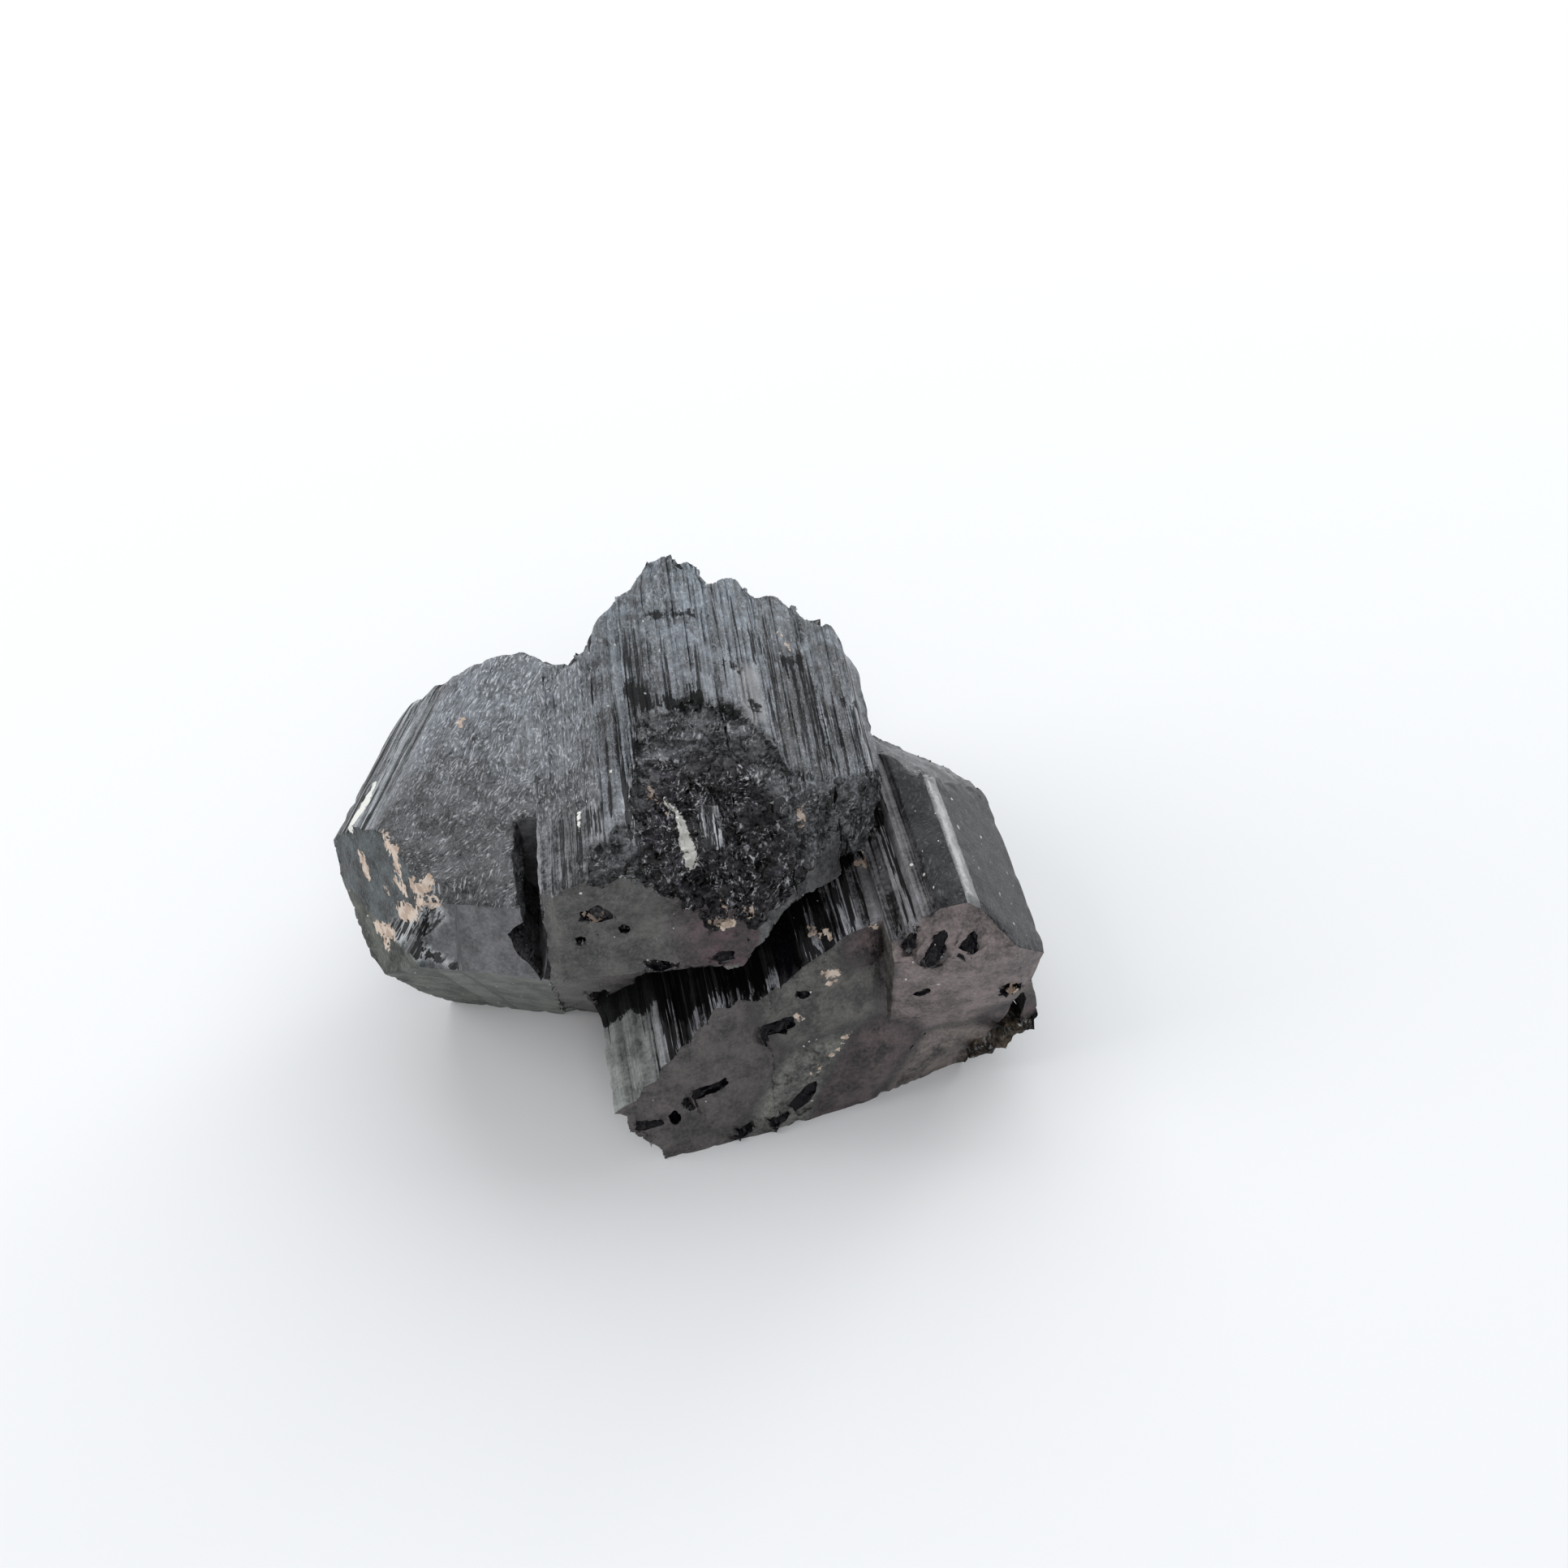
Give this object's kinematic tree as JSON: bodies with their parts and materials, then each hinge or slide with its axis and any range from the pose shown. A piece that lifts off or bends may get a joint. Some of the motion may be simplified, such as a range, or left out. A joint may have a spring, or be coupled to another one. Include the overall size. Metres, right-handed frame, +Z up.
{
  "type": "black tourmaline specimen",
  "caption": "Cluster of short, thick, striated black crystals grown together in two tiers, lying with their ends facing front, to rest on a shelf or table.",
  "frame": {"origin": "on the plane the specimen rests on, under the first crystal of the lower tier", "axes": "+Z up from the resting plane, +X to the right seen from the crystals' ends, -Y the side that the ends face"},
  "size_m": [0.0694, 0.0506, 0.0352],
  "materials": {
    "tourmaline": "vitreous, striated"
  },
  "bodies": {
    "root": {"tourmaline_cluster": "tourmaline"}
  },
  "joints": []
}
